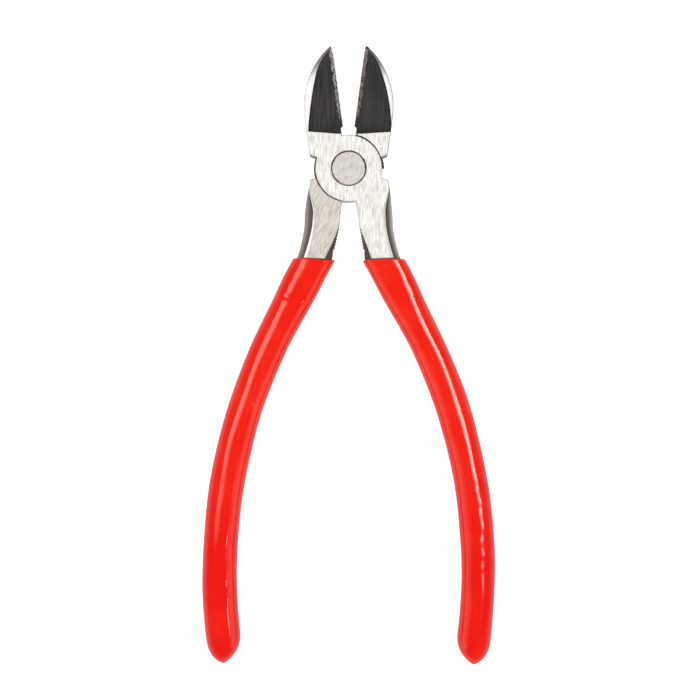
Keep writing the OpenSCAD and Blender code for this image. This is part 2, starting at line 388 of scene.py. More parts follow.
def surface_net(field, low, high, step):
    """Vertices and quads of a field's zero surface, on a regular grid."""
    axes = [np.arange(low[i], high[i] + step, step, dtype=np.float32) for i in range(3)]
    values = field(axes[0][:, None, None], axes[1][None, :, None], axes[2][None, None, :])
    values = np.ascontiguousarray(values, np.float32)
    inside = values < 0
    nx, ny, nz = (n - 1 for n in inside.shape)
    count = np.zeros((nx, ny, nz), np.int8)
    for i in (0, 1):
        for j in (0, 1):
            for k in (0, 1):
                count += inside[i:nx + i, j:ny + j, k:nz + k]
    mixed = (count > 0) & (count < 8)
    cells = np.argwhere(mixed)
    index = np.full(mixed.shape, -1, np.int32)
    index[mixed] = np.arange(len(cells))
    total = np.zeros((len(cells), 3))
    hits = np.zeros(len(cells))
    for axis in range(3):
        for a in (0, 1):
            for b in (0, 1):
                start = np.zeros(3, int)
                start[(axis + 1) % 3], start[(axis + 2) % 3] = a, b
                end = start.copy()
                end[axis] = 1
                v0 = values[tuple((cells + start).T)].astype(float)
                v1 = values[tuple((cells + end).T)].astype(float)
                cross = (v0 < 0) != (v1 < 0)
                t = np.where(cross, v0 / np.where(cross, v0 - v1, 1), 0)
                point = (cells + start).astype(float)
                point[:, axis] += t
                total += point * cross[:, None]
                hits += cross
    verts = total / hits[:, None] * step + np.array([a[0] for a in axes])
    quads = []
    for axis in range(3):
        u, v = (axis + 1) % 3, (axis + 2) % 3
        near = [slice(1, -1)] * 3
        far = [slice(1, -1)] * 3
        near[axis], far[axis] = slice(0, -1), slice(1, None)
        a, b = inside[tuple(near)], inside[tuple(far)]
        spots = np.argwhere(a != b)
        solid_first = a[tuple(spots.T)]
        spots[:, u] += 1
        spots[:, v] += 1
        ring = []
        for du, dv in ((1, 1), (0, 1), (0, 0), (1, 0)):
            at = spots.copy()
            at[:, u] -= du
            at[:, v] -= dv
            ring.append(index[tuple(at.T)])
        quad = np.stack(ring, 1)
        quad[~solid_first] = quad[~solid_first][:, ::-1]
        quads.append(quad)
    return verts, np.concatenate(quads)


def field_slope(field, p):
    eps = 0.015
    grad = np.empty_like(p)
    for axis in range(3):
        shift = np.zeros(3)
        shift[axis] = eps
        a, b = p + shift, p - shift
        grad[:, axis] = (field(*a.T) - field(*b.T)) / (2 * eps)
    return grad


def settle(field, verts, rounds=3):
    """Pulls the vertices onto the true surface and gives their normals."""
    for _ in range(rounds):
        grad = field_slope(field, verts)
        square = np.maximum((grad ** 2).sum(1), 1e-4)
        move = -(field(*verts.T) / square)[:, None] * grad
        length = np.linalg.norm(move, axis=1)
        verts = verts + move * np.minimum(1, 0.08 / np.maximum(length, 1e-9))[:, None]
    grad = field_slope(field, verts)
    return verts, grad / np.maximum(np.linalg.norm(grad, axis=1), 1e-9)[:, None]


def place(points, lever):
    """From the shape's own frame to the row frame, still in millimetres."""
    out = np.array(points, float)
    turn = HALF_OPENING
    if not lever["front"]:
        out[:, 0] *= -1
        turn = -HALF_OPENING
    c, s = math.cos(turn), math.sin(turn)
    x, y = out[:, 0].copy(), out[:, 1].copy()
    out[:, 0], out[:, 1] = c * x - s * y, s * x + c * y
    return out


def add_mesh(name, verts, faces, attributes=None):
    """A smooth mesh object from points in millimetres."""
    mesh = bpy.data.meshes.new(name)
    mesh.from_pydata((np.asarray(verts) * MM).tolist(), [], faces)
    mesh.polygons.foreach_set("use_smooth", np.ones(len(mesh.polygons), bool))
    for key, values in (attributes or {}).items():
        values = np.asarray(values, np.float32)
        kind, slot = ("FLOAT_VECTOR", "vector") if values.ndim == 2 else ("FLOAT", "value")
        layer = mesh.attributes.new(key, kind, "POINT")
        layer.data.foreach_set(slot, values.ravel())
    mesh.update()
    obj = bpy.data.objects.new(name, mesh)
    bpy.context.scene.collection.objects.link(obj)
    return obj


# ---------------------------------------------------------------- handles

def handle_line(s):
    """Point, outward direction and way of the handle's middle line at distances s from the mouth."""
    s = np.asarray(s, float)
    start = MOUTH + STRAIGHT * np.array([math.sin(LEAN), -math.cos(LEAN)])
    centre = start - BEND * np.array([math.cos(LEAN), math.sin(LEAN)])
    a = LEAN - np.maximum(s - STRAIGHT, 0) / BEND
    straight = np.minimum(s - STRAIGHT, 0)
    x = centre[0] + BEND * np.cos(a) + straight * math.sin(LEAN)
    y = centre[1] + BEND * np.sin(a) - straight * math.cos(LEAN)
    return x, y, np.cos(a), np.sin(a)


def tube_faces(rings, sides):
    """Outward faces of a tube whose rings run anticlockwise, seen from its first ring's end."""
    faces = []
    for i in range(rings - 1):
        for j in range(sides):
            k = (j + 1) % sides
            faces.append((i * sides + j, (i + 1) * sides + j, (i + 1) * sides + k, i * sides + k))
    return faces


def grip_stations(whole):
    """Distance along the grip, share of the full section and inset of each ring, from the mouth."""
    stations = [(0.0, share, 0.0) for share in (0.55, 0.67, 0.79)]
    for k in range(7):
        a = math.radians(90 * k / 6)
        stations.append((LIP * (1 - math.cos(a)), 1.0, LIP * (1 - math.sin(a))))
    for s in np.concatenate([np.linspace(LIP + 0.25, 3, 12), np.linspace(3.3, BODY_END, 250)]):
        stations.append((s, 1.0, 0.0))
    for k in range(1, 40):
        a = math.radians(90 * k / 40)
        stations.append((BODY_END + (whole - BODY_END) * math.sin(a), 1.0, 0.0))
    return stations


def sway(s, near, far, first, last):
    """How far a grip stands outward of the handle line, eased from near to far between two places."""
    t = min(max((s - first) / (last - first), 0.0), 1.0)
    return min(s / 4, 1.0) * near + (far - near) * t * t * (3 - 2 * t)


def grip_mesh(lever):
    """The dipped sleeve: rolled lip at the slanted mouth, flared top, slight lumps, bullet end."""
    sides = 96
    theta = np.linspace(0, 2 * math.pi, sides, endpoint=False)
    c, q = np.cos(theta), np.sin(theta)
    whole, seed = lever["length"], lever["seed"]
    mouth_line = 0.10 * np.sin(2 * theta + seed) + 0.07 * np.sin(3 * theta + 2 * seed)
    rows = []
    for s, share, inset in grip_stations(whole):
        w = GRIP_HALF + lever["swell"] * min(s / 8, 1.0) + 0.70 * max(0.0, 1 - s / 27) ** 1.2
        w += 0.14 * math.exp(-((s - 10) / 6) ** 2)
        h = GRIP_HIGH + 0.28 * max(0.0, 1 - s / 20)
        power = 2.05 + lever["square"] * max(0.0, 1 - s / 26) ** 1.3
        rho = (np.abs(c / w) ** power + np.abs(q / h) ** power) ** (-1 / power)
        rho = (rho - inset) * share
        lumps = (
            0.050 * np.sin(0.16 * s + 2 * theta + seed)
            + 0.030 * np.sin(0.27 * s - 3 * theta + 2.1 * seed)
            + 0.010 * np.sin(0.61 * s + theta * 2 + 0.7 * seed)
        )
        rho = rho + lumps * min(1.0, s / 4)
        for at, angle, size, reach, spread in lever["bumps"]:
            turn = np.angle(np.exp(1j * (theta - angle)))
            rho = rho + size * np.exp(-((s - at) / reach) ** 2 - (turn / spread) ** 2)
        left = whole - s
        shift = sway(s, *lever["sway"])
        if left < NOSE_LENGTH:
            t = max(left, 0.0) / NOSE_FULL
            rho = rho * max(1 - max(1 - t, 0.0) ** 2.6, 0.0) ** 0.74
            shift += lever["nose"] * (1 - left / NOSE_LENGTH) ** 2
        slant = max(0.0, 1 - s / 16) ** 2 * MOUTH_SLANT * rho * c
        at = s + slant + mouth_line * max(0.0, 1 - s / 2) + lever["mouth"] * max(0.0, 1 - s / 10)
        x, y, nx, ny = handle_line(at)
        out = rho * c + shift
        rows.append(np.stack([x + nx * out, y + ny * out, MID + rho * q], 1))
    verts = np.concatenate(rows)
    faces = tube_faces(len(rows), sides)
    top, bottom = len(verts), len(verts) + 1
    verts = np.concatenate([verts, rows[0].mean(0)[None], rows[-1].mean(0)[None]])
    last = (len(rows) - 1) * sides
    for j in range(sides):
        k = (j + 1) % sides
        faces.append((top, j, k))
        faces.append((bottom, last + k, last + j))
    return verts, faces


def core_mesh():
    """The round steel inside the grip, out of sight."""
    sides, rows = 24, []
    theta = np.linspace(0, 2 * math.pi, sides, endpoint=False)
    for s in np.linspace(1.5, BODY_END, 60):
        x, y, nx, ny = handle_line(s)
        out = CORE_RADIUS * np.cos(theta)
        rows.append(np.stack([x + nx * out, y + ny * out, MID + CORE_RADIUS * np.sin(theta)], 1))
    faces = tube_faces(len(rows), sides)
    last = (len(rows) - 1) * sides
    faces.append(tuple(range(sides)))
    faces.append(tuple(last + j for j in range(sides - 1, -1, -1)))
    return np.concatenate(rows), faces


# band: width of the rounded side; chamfer: width of its edge at the top, which is painted pale as a painted
# highlight, and its growth.
# length, mouth, square, swell and nose: of the grip, its whole length, the shift of its mouth, how
# square its top is, its extra half width and how far its tip leans out. sway: see above.
# Each bump of a grip: distance from the mouth, angle round it, height, reach and spread in radians.
LEVERS = [
    {"name": "front", "front": True, "body": "front_half", "seed": 0.6,
     "jaw": FRONT_JAW, "rim": FRONT_RIM, "shank": FRONT_SHANK, "inside": FRONT_IN, "outside": FRONT_OUT,
     "band": 0.84, "chamfer": (0.02, 0.10),
     "length": 123.3, "mouth": 0.0, "square": 0.8, "swell": 0.05, "nose": 1.0,
     "sway": (0.15, 0.32, 22.0, 46.0),
     "bumps": [
        (5.5, 0.9, 0.05, 1.6, 0.5), (8.6, 1.2, 0.07, 1.3, 0.3), (11.2, 1.2, -0.06, 1.4, 0.3),
        (17.0, 1.9, -0.04, 3.0, 0.6), (42.5, 2.07, 0.04, 0.5, 0.10), (43.5, 1.2, 0.03, 0.8, 0.25),
        (57.0, 1.25, -0.02, 2.0, 0.3), (70.0, 1.12, 0.05, 1.0, 0.25), (73.0, 1.42, 0.06, 1.1, 0.25),
        (76.2, 1.12, 0.07, 1.1, 0.25), (79.5, 1.44, 0.07, 1.3, 0.25), (83.5, 1.12, 0.08, 1.3, 0.25),
        (87.5, 1.44, 0.07, 1.3, 0.25), (91.5, 1.14, 0.06, 1.3, 0.25), (95.0, 1.42, 0.04, 1.2, 0.25),
        (75.5, 1.65, 0.08, 0.6, 0.12), (79.0, 1.75, 0.08, 0.5, 0.12), (82.0, 1.9, 0.08, 0.6, 0.10),
        (85.0, 1.95, 0.07, 0.5, 0.10), (114.0, 1.0, 0.05, 1.5, 0.3),
    ]},
    {"name": "back", "front": False, "body": "back_half", "seed": 3.4,
     "jaw": BACK_JAW, "rim": BACK_RIM, "shank": BACK_SHANK, "inside": BACK_IN, "outside": BACK_OUT,
     "band": 1.06, "chamfer": (0.12, 0.3),
     "length": 122.9, "mouth": -0.1, "square": 0.5, "swell": 0.17, "nose": 1.0,
     "sway": (0.08, 0.32, 90.0, 108.0),
     "bumps": [
        (9.8, 1.3, 0.06, 1.8, 0.7), (13.5, 1.15, -0.17, 0.8, 0.28), (12.9, 1.55, -0.26, 0.7, 0.3),
        (11.8, 2.0, -0.24, 0.8, 0.32), (15.0, 1.75, 0.10, 1.2, 0.4), (46.5, 1.94, 0.07, 0.7, 0.10),
        (60.0, 0.9, 0.04, 6.0, 0.5), (83.0, 1.93, -0.04, 3.0, 0.2), (88.5, 1.93, 0.03, 1.5, 0.2),
        (95.5, 1.93, -0.06, 2.6, 0.2), (100.5, 1.93, 0.05, 1.2, 0.2), (104.0, 1.93, -0.06, 1.3, 0.2),
        (109.0, 1.2, 0.05, 1.2, 0.3),
    ]},
]


def flipped(faces):
    """The same faces turned outward, for the front lever, whose rings run clockwise round the handle."""
    return [tuple(reversed(f)) for f in faces]


def steel_zones(lever, verts, normals):
    """Values at each point that tell the steel's material which finish it has there.

    below_flat is the depth below the ground face, and sunk the distance outside a bevel's edge.
    strip, band and tooth say how far inside the worn strip, the rounded side and the toothed side the
    point lies, and band_edge the same for the rounded side without its chamfer, which carries a painted
    highlight. mouth is the height above the grip, where a painted shadow line lies, ring the distance
    from the pivot, split the distance from the joint between the levers, where the gap gets painted
    shade, and own_y the lever's own y. wall, the shank's shade mark and brown are 1 where they apply:
    wall on side walls painted pale as a painted highlight, the shade mark on the back lever's front
    shank, painted darker as painted shade, and brown on the whole back lever, whose steel is browner.
    """
    x, y, z = verts.T
    front = lever["front"]
    up = np.abs(z - MID)
    level = np.abs(normals[:, 2])
    radius = np.hypot(x, y)
    top = np.where(y > 6, jaw_top(y), shank_top(y))
    faces_front = (normals[:, 2] > 0) & (z > FRONT_SIDE)
    front_sunk = np.where(y > 9.5, sunk_distance(x, y, z, lever), FAR)
    back_sunk = np.maximum(-x - back_bevel_width(y), EDGE_START - 0.1 - y)
    band = np.where(y < -4.5, band_field(x, y, z, lever) - (up - top), -FAR)
    chamfer, chamfer_growth = lever["chamfer"]
    # Flat faces at the joint between the levers, near the pivot, get painted shade for the gap there, and
    # the pocket wall round the front disc gets the same painted shade, least so at its lower end.
    split = up + np.where((level > 0.6) & (radius < 11.6), 0.0, FAR)
    shaded_pocket_wall = (not front) & (z > MID) & (np.abs(pocket_distance(x, y, lever)) < 0.15) & (level < 0.7)
    pocket_wall_shade = 0.25 + 0.2 * np.clip((-6.0 - y) / 2.5, 0, 1)
    # Side walls of the front disc and of the inner shank are painted pale as a painted highlight.
    disc_wall = (np.abs(radius - FRONT_DISC) < 0.2) & (z > MID) & front & (y < 1)
    inner_wall = (x < 2.2) & (y < -5) & (y > -17.2)
    return {
        "below_flat": top - up,
        "sunk": np.where(faces_front, front_sunk, np.where(y > 11, back_sunk, FAR)),
        "strip": np.where((y > 12.6) & (x > -3), strip_width(y, lever["seed"]) - np.abs(x), -FAR),
        "band": band,
        "band_edge": band - chamfer - chamfer_growth * np.clip((-14 - y) / 12, 0, 1),
        "tooth": np.where(y < -17.0, tooth_band_field(x, y, z, lever) - (up - top), -FAR),
        "mouth": y - (MOUTH_LEVEL - MOUTH_SLOPE * (x - 7.2)),
        "ring": radius,
        "split": np.where(shaded_pocket_wall, np.minimum(split, pocket_wall_shade), split),
        "own_y": y,
        "wall": np.where((disc_wall | inner_wall) & (level < 0.9), 1.0, 0.0),
        "shank_shade": np.where((y < 0) & (z > FRONT_SIDE), 0.0 if front else 1.0, 0.0),
        "brown": np.full(len(verts), 0.0 if front else 1.0),
    }


def scratch_frame(lever, placed, lower_front):
    """The points again, turned where needed so that the scratches run along Y."""
    grain = placed.copy()
    if not lever["front"]:
        c, s = math.cos(BACK_SCRATCHES), math.sin(BACK_SCRATCHES)
        x, y = placed[lower_front, 0], placed[lower_front, 1]
        grain[lower_front, 0] = x * c - y * s
        grain[lower_front, 1] = x * s + y * c
    return grain


def build_lever(lever):
    """One lever's steel: the forging from its field, and the round core inside the grip."""
    def field(x, y, z):
        return lever_field(x, y, z, lever)

    step = GRID_STEP
    verts, quads = surface_net(field, GRID_LOW, GRID_HIGH, step)
    verts, normals = settle(field, verts)
    placed, turned = place(verts, lever), place(normals, lever)
    zones = steel_zones(lever, verts, normals)
    lower_front = (verts[:, 1] < 0) & (verts[:, 2] > FRONT_SIDE)
    zones["grain"] = scratch_frame(lever, placed, lower_front)
    core, core_faces = core_mesh()
    core = place(core, lever)
    if lever["front"]:
        core_faces = flipped(core_faces)
    else:
        quads = quads[:, ::-1]
    first = len(placed)
    faces = quads.tolist() + [tuple(i + first for i in f) for f in core_faces]
    for key, values in zones.items():
        pad = np.zeros((len(core), 3)) if values.ndim == 2 else np.full(len(core), FAR)
        zones[key] = np.concatenate([values, pad])
    obj = add_mesh(f"{lever['name']}_lever_steel", np.concatenate([placed, core]), faces, zones)
    mesh = obj.data
    loops = np.empty(len(mesh.loops), int)
    mesh.loops.foreach_get("vertex_index", loops)
    # A zero normal leaves the core's own shading as it is.
    corner_normals = np.concatenate([turned, np.zeros((len(core), 3))])[loops]
    mesh.normals_split_custom_set(corner_normals.tolist())
    return obj


# ---------------------------------------------------------------- materials

class Nodes:
    """Short ways to wire up a node tree."""

    def __init__(self, owner):
        owner.use_nodes = True
        self.tree = owner.node_tree

    def node(self, kind, **settings):
        n = self.tree.nodes.new(kind)
        for key, value in settings.items():
            setattr(n, key, value)
        return n

    def link(self, source, target):
        self.tree.links.new(source, target)

    def put(self, socket, value):
        if hasattr(value, "is_output"):
            self.link(value, socket)
        else:
            socket.default_value = value

    def axes(self, vector):
        n = self.node("ShaderNodeSeparateXYZ")
        self.link(vector, n.inputs[0])
        return n.outputs

    def math(self, operation, a, b=0.0, clamp=False):
        n = self.node("ShaderNodeMath", operation=operation, use_clamp=clamp)
        self.put(n.inputs[0], a)
        self.put(n.inputs[1], b)
        return n.outputs[0]

    def ramp(self, value, low, high, to_low=0.0, to_high=1.0):
        n = self.node("ShaderNodeMapRange", interpolation_type="SMOOTHSTEP")
        self.put(n.inputs["Value"], value)
        self.put(n.inputs["From Min"], low)
        self.put(n.inputs["From Max"], high)
        n.inputs["To Min"].default_value = to_low
        n.inputs["To Max"].default_value = to_high
        return n.outputs["Result"]

    def mix(self, factor, a, b):
        n = self.node("ShaderNodeMix", data_type="RGBA")
        self.put(n.inputs[0], factor)
        self.put(n.inputs[6], a)
        self.put(n.inputs[7], b)
        return n.outputs[2]

    def blend(self, factor, a, b):
        n = self.node("ShaderNodeMix", data_type="FLOAT")
        self.put(n.inputs[0], factor)
        self.put(n.inputs[2], a)
        self.put(n.inputs[3], b)
        return n.outputs[0]


class Shader(Nodes):
    """A node material."""

    def __init__(self, name):
        self.material = bpy.data.materials.new(name)
        super().__init__(self.material)
        self.bsdf = self.tree.nodes["Principled BSDF"]

    def attribute(self, name, vector=False):
        n = self.node("ShaderNodeAttribute", attribute_name=name)
        return n.outputs["Vector"] if vector else n.outputs["Fac"]

    def stretched(self, vector, scale):
        n = self.node("ShaderNodeMapping")
        self.link(vector, n.inputs["Vector"])
        n.inputs["Scale"].default_value = scale
        return n.outputs["Vector"]

    def noise(self, vector, scale, detail=2.0, rough=0.5):
        n = self.node("ShaderNodeTexNoise")
        self.link(vector, n.inputs["Vector"])
        n.inputs["Scale"].default_value = scale
        n.inputs["Detail"].default_value = detail
        n.inputs["Roughness"].default_value = rough
        return n.outputs["Fac"]

    def bump(self, height, distance, strength=1.0):
        n = self.node("ShaderNodeBump")
        n.inputs["Distance"].default_value = distance
        n.inputs["Strength"].default_value = strength
        self.link(height, n.inputs["Height"])
        self.link(n.outputs["Normal"], self.bsdf.inputs["Normal"])


def srgb(r, g, b):
    """Linear colour from 0 to 255 screen values."""
    def one(v):
        v /= 255
        return v / 12.92 if v <= 0.04045 else ((v + 0.055) / 1.055) ** 2.4
    return one(r), one(g), one(b), 1.0


def rivet_stain(s, vector, unit):
    """Brown stain round the rivet's head, paler at its lower side; unit is a millimetre of vector."""
    patches = s.ramp(s.noise(vector, 0.35 / unit, 2.0), 0.40, 0.60)
    stain = s.mix(patches, srgb(66, 54, 46), srgb(142, 112, 84))
    low = s.ramp(s.axes(vector)["Y"], -3.2 * unit, -4.9 * unit, 0.0, 0.8)
    return s.mix(low, stain, srgb(176, 160, 150))


def ground_colour(s, grain, scratch):
    """Ground faces: pale and scratched, with painted shade darkening the left shank, a painted highlight
    whitening the jaws and painted shade greying the tips.
    """
    patch = s.noise(grain, 0.22, 2.0, 0.5)
    pits = s.noise(s.stretched(grain, (3.4, 2.0, 3.4)), 1.0, 1.0, 0.5)
    own_y = s.attribute("own_y")
    ground = s.mix(s.ramp(scratch, 0.33, 0.62), srgb(221, 217, 209), srgb(255, 254, 250))
    ground = s.mix(s.ramp(patch, 0.45, 0.8, 0.0, 0.25), ground, srgb(214, 209, 200))
    # The ground face of the back lever's front shank is painted darker: painted shade.
    shank_shade = s.mix(s.ramp(scratch, 0.33, 0.64), srgb(199, 190, 179), srgb(224, 217, 207))
    ground = s.mix(s.math("MULTIPLY", s.attribute("shank_shade"), 0.85), ground, shank_shade)
    ground = s.mix(s.ramp(pits, 0.66, 0.78, 0.0, 0.45), ground, srgb(150, 146, 141))
    # A painted highlight whitens the jaws.
    ground = s.mix(s.ramp(own_y, 11.5, 16.0, 0.0, 0.75), ground, srgb(255, 255, 252))
    # Painted shade greys the tips.
    return s.mix(s.ramp(own_y, 26.8, 32.0, 0.0, 0.78), ground, srgb(150, 143, 138))


def forged_colour(s, brown, below):
    """Rounded sides: painted shade beside the flat, and a paler painted sheen of reflected light further
    down the side.
    """
    pale_sheen = s.mix(brown, srgb(194, 187, 182), srgb(150, 139, 128))
    sheen_share = s.ramp(below, s.blend(brown, 0.05, 0.25), s.blend(brown, 3.0, 2.2))
    return s.mix(sheen_share, srgb(84, 76, 71), pale_sheen)


def bevel_colour(s, grain, spot, brown):
    """Sunk bevels: black with faint brown streaks."""
    streak = s.noise(s.stretched(grain, (1.3, 0.09, 1.3)), 1.0, 2.0, 0.5)
    black = s.mix(s.ramp(streak, 0.35, 0.65), srgb(47, 49, 51), srgb(70, 65, 62))
    black = s.mix(s.ramp(spot, 0.55, 0.8, 0.0, 0.4), black, srgb(76, 70, 67))
    return s.mix(s.math("MULTIPLY", brown, 0.5), black, srgb(38, 38, 38))


def rim_colour(s, below):
    """The line round a sunk bevel, and the wall at its foot, which is coppery at the top. Their dark brown
    is partly the steel's own tint and partly painted shade of the steep walls, deepest low on the foot
    wall.
    """
    foot = s.ramp(s.attribute("own_y"), 11.2, 10.6)
    foot_wall = s.mix(s.ramp(below, 0.5, 1.4), srgb(132, 84, 70), srgb(66, 56, 52))
    return s.mix(foot, srgb(54, 36, 26), foot_wall)


def worn_colour(s, grain, brown):
    """The strip along a cutting edge: bright where it is worn through, and dark at its foot."""
    run = s.noise(s.stretched(grain, (3.2, 0.7, 3.2)), 1.0, 3.0, 0.7)
    pale = s.mix(brown, srgb(212, 209, 208), srgb(168, 150, 138))
    worn = s.mix(s.ramp(run, 0.44, 0.56), srgb(52, 46, 45), pale)
    return s.mix(s.ramp(s.attribute("own_y"), 17.5, 14.0, 0.0, 0.8), worn, srgb(58, 54, 53))


def lever_material():
    s = Shader("forged_and_ground_steel")
    grain = s.attribute("grain", vector=True)
    brown = s.attribute("brown")
    below = s.attribute("below_flat")
    hollow = s.attribute("sunk")
    # Fine scratches of the surface grinder, mostly along the grain's own Y.
    fine = s.noise(s.stretched(grain, (3.5, 0.28, 3.5)), 1.0, 2.0, 0.7)
    broad = s.noise(s.stretched(grain, (1.3, 0.45, 1.3)), 1.0, 2.0, 0.5)
    scratch = s.math("ADD", s.math("MULTIPLY", fine, 0.85), s.math("MULTIPLY", broad, 0.15))
    spot = s.noise(grain, 1.6, 3.0, 0.6)

    # The share of each finish at a place.
    not_flat = s.ramp(below, 0.12, 0.22)
    wall = s.math("MULTIPLY", not_flat, s.attribute("wall"))
    band = s.ramp(s.attribute("band_edge"), 0.0, 0.08)
    chamfer = s.math("MULTIPLY", s.ramp(s.attribute("band"), -0.02, 0.04), s.math("SUBTRACT", 1.0, band))
    tooth = s.ramp(s.attribute("tooth"), 0.02, 0.08)
    sunk = s.ramp(hollow, 0.10, 0.02)
    near_rim = s.ramp(s.math("ABSOLUTE", hollow), 0.22, 0.10)
    rim = s.math("MULTIPLY", near_rim, s.ramp(hollow, 0.14, 0.08))
    strip = s.ramp(s.attribute("strip"), -0.03, 0.05)
    ring = s.math("ABSOLUTE", s.math("SUBTRACT", s.attribute("ring"), RIVET_HEAD))
    uneven = s.math("ADD", ring, s.math("MULTIPLY", s.noise(grain, 0.55, 2.0), -0.42))
    rust = s.ramp(uneven, 0.17, -0.03)
    split = s.ramp(s.attribute("split"), 0.45, 0.25)
    mouth = s.ramp(s.attribute("mouth"), 0.26, 0.10)

    # Each finish, or painted light or shade, covers the ones above it in this list.
    side = s.mix(s.ramp(spot, 0.25, 0.8), srgb(92, 84, 77), srgb(126, 118, 110))
    teeth = s.mix(s.ramp(s.noise(grain, 2.4, 2.0, 0.6), 0.35, 0.65), srgb(50, 42, 42), srgb(104, 90, 82))
    finishes = [
        (not_flat, side),
        # Pale side walls: a painted highlight.
        (wall, srgb(234, 231, 226)),
        # The chamfer at the top of the rounded side: a painted highlight.
        (chamfer, srgb(244, 241, 236)),
        # The rounded sides, with their painted shade and painted sheen.
        (band, forged_colour(s, brown, below)),
        (tooth, teeth),
        (sunk, bevel_colour(s, grain, spot, brown)),
        # The bevel's rim line and foot wall, darkened partly with painted shade.
        (rim, rim_colour(s, below)),
        (strip, worn_colour(s, grain, brown)),
        (rust, rivet_stain(s, grain, 1.0)),
        # The gap between the levers and the pocket wall: painted shade.
        (split, srgb(40, 32, 28)),
        # A painted shadow line on the steel where it goes into the grip.
        (mouth, srgb(96, 78, 70)),
    ]
    colour = ground_colour(s, grain, scratch)
    for share, finish in finishes:
        colour = s.mix(share, colour, finish)
    s.link(colour, s.bsdf.inputs["Base Color"])

    dark = s.math("MAXIMUM", s.math("MAXIMUM", sunk, tooth), split)
    dark = s.math("MULTIPLY", dark, s.math("SUBTRACT", 1.0, strip))
    forged = s.math("MAXIMUM", not_flat, band)
    metal = s.blend(forged, 0.92, 0.55)
    metal = s.blend(s.math("MAXIMUM", chamfer, wall), metal, 0.3)
    metal = s.blend(dark, metal, 0.0)
    s.link(metal, s.bsdf.inputs["Metallic"])
    s.link(s.blend(dark, 0.5, 0.16), s.bsdf.inputs["Specular IOR Level"])
    rough = s.blend(s.ramp(scratch, 0.35, 0.65), 0.46, 0.34)
    rough = s.blend(forged, rough, 0.36)
    rough = s.blend(dark, rough, 0.5)
    s.link(rough, s.bsdf.inputs["Roughness"])
    # Scratches are shallow; the forged skin is a little pebbly.
    pebbles = s.noise(grain, 2.6, 3.0, 0.6)
    height = s.blend(s.math("MAXIMUM", dark, forged), s.math("MULTIPLY", scratch, 0.5), pebbles)
    s.bump(height, 0.00003, 0.6)
    return s.material


def rivet_material():
    s = Shader("rivet_steel")
    place_in = s.node("ShaderNodeTexCoord").outputs["Object"]
    turned = s.node("ShaderNodeMapping")
    s.link(place_in, turned.inputs["Vector"])
    turned.inputs["Rotation"].default_value = (0, 0, math.radians(38))
    vector = turned.outputs["Vector"]
    fine = s.noise(s.stretched(vector, (3200, 500, 3200)), 1.0, 4.0, 0.7)
    patch = s.noise(vector, 350, 3.0, 0.55)
    colour = s.mix(s.ramp(fine, 0.30, 0.70), srgb(206, 200, 192), srgb(246, 242, 236))
    colour = s.mix(s.ramp(patch, 0.40, 0.75, 0.0, 0.30), colour, srgb(204, 195, 187))
    edge = s.attribute("ring")
    uneven = s.math("ADD", edge, s.math("MULTIPLY", s.noise(place_in, 550, 2.0), 0.42))
    rust = s.ramp(uneven, RIVET_HEAD - 0.08, RIVET_HEAD + 0.07)
    colour = s.mix(rust, colour, rivet_stain(s, place_in, MM))
    s.link(colour, s.bsdf.inputs["Base Color"])
    s.bsdf.inputs["Metallic"].default_value = 0.9
    s.link(s.blend(s.ramp(fine, 0.35, 0.65), 0.50, 0.40), s.bsdf.inputs["Roughness"])
    s.bump(fine, 0.000015, 0.6)
    return s.material


def grip_material():
    s = Shader("dipped_red_plastic")
    vector = s.node("ShaderNodeTexCoord").outputs["Object"]
    cloud = s.noise(vector, 90, 2.0, 0.5)
    speck = s.noise(vector, 900, 3.0, 0.6)
    # The red is painted deeper towards the end of the grip, a painted shade where the light falls off
    # there.
    end_shade = s.ramp(s.axes(vector)["Y"], -0.070, -0.112)
    clouded = s.ramp(cloud, 0.35, 0.7)
    upper = s.mix(clouded, srgb(247, 24, 2), srgb(251, 33, 7))
    colour = s.mix(end_shade, upper, s.mix(clouded, srgb(242, 12, 1), srgb(247, 21, 3)))
    colour = s.mix(s.ramp(speck, 0.66, 0.78, 0.0, 0.22), colour, srgb(250, 70, 46))
    s.link(colour, s.bsdf.inputs["Base Color"])
    s.link(s.ramp(cloud, 0.3, 0.75, 0.09, 0.14), s.bsdf.inputs["Roughness"])
    s.bsdf.inputs["IOR"].default_value = 1.5
    s.bump(s.noise(vector, 220, 1.0, 0.5), 0.00001, 0.4)
    return s.material


# ---------------------------------------------------------------- pieces

steel = lever_material()
plastic = grip_material()
rivet_steel = rivet_material()

for lever in LEVERS:
    piece = build_lever(lever)
    piece.data.materials.append(steel)
    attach(piece, lever["body"])
    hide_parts(f"{lever['name']}_lever")

    verts, faces = grip_mesh(lever)
    if lever["front"]:
        faces = flipped(faces)
    grip = add_mesh(f"{lever['name']}_lever_grip_sleeve", place(verts, lever), faces)
    grip.data.materials.append(plastic)
    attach(grip, lever["body"])
    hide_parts(f"{lever['name']}_lever_grip")


